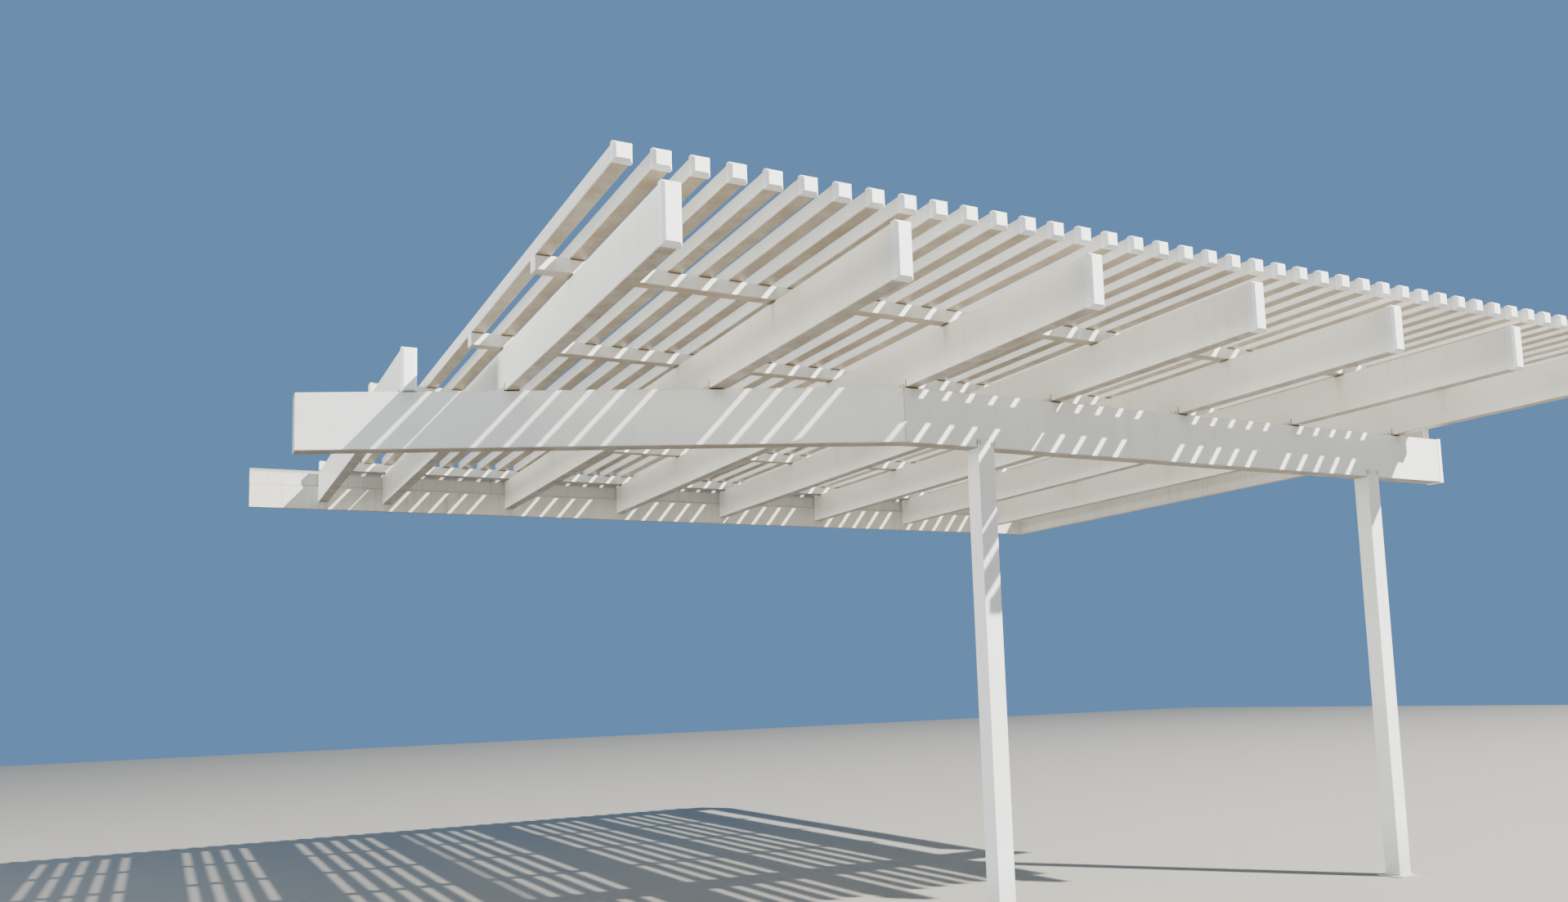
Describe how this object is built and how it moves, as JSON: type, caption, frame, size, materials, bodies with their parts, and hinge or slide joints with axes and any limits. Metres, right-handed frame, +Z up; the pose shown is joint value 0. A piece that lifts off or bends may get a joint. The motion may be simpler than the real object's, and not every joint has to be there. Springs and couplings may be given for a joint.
{
  "type": "lattice-roofed patio pergola",
  "caption": "Off-white attached patio pergola: an angled front beam on square posts, deep rafters over it and a roof of square lattice tubes, with ledgers for the house walls.",
  "frame": {"origin": "on the ground under the centre of the middle post, on the underside of its base plate", "axes": "+X to the right along the right-hand beam, +Y from the front of the pergola to the house wall, +Z up"},
  "size_m": [5.868, 5.165, 2.647],
  "materials": {
    "plated_steel": "dull zinc plating",
    "white_beam": "satin off-white coating, faintly soiled",
    "white_bracket": "satin off-white coating, faintly soiled",
    "white_cap": "smooth slip-on cap, brighter white than the bars",
    "white_ledger": "satin off-white coating, faintly soiled",
    "white_post": "satin off-white coating, faintly soiled",
    "white_rafter": "satin off-white coating, faintly soiled",
    "white_roof": "satin off-white coating, faintly soiled"
  },
  "bodies": {
    "root": {"bar_end_caps": "white_cap", "base_plate_middle": "plated_steel", "base_plate_right": "plated_steel", "beam_end_cap": "white_cap", "beam_left": "white_beam", "beam_right": "white_beam", "cross_bar_1": "white_roof", "cross_bar_2": "white_roof", "cross_bar_3": "white_roof", "cross_bar_4": "white_roof", "cross_bar_5": "white_roof", "lattice_caps_1": "white_cap", "lattice_caps_2": "white_cap", "lattice_caps_3": "white_cap", "lattice_caps_4": "white_cap", "lattice_caps_5": "white_cap", "lattice_tubes_1": "white_roof", "lattice_tubes_2": "white_roof", "lattice_tubes_3": "white_roof", "lattice_tubes_4": "white_roof", "lattice_tubes_5": "white_roof", "ledger_back": "white_ledger", "ledger_side": "white_ledger", "post_middle": "white_post", "post_right": "white_post", "rafter_1": "white_rafter", "rafter_2": "white_rafter", "rafter_3": "white_rafter", "rafter_4": "white_rafter", "rafter_5": "white_rafter", "rafter_6": "white_rafter", "rafter_7": "white_rafter", "rafter_8": "white_rafter", "rafter_end_caps": "white_cap", "rafter_saddles": "white_bracket"}
  },
  "joints": []
}
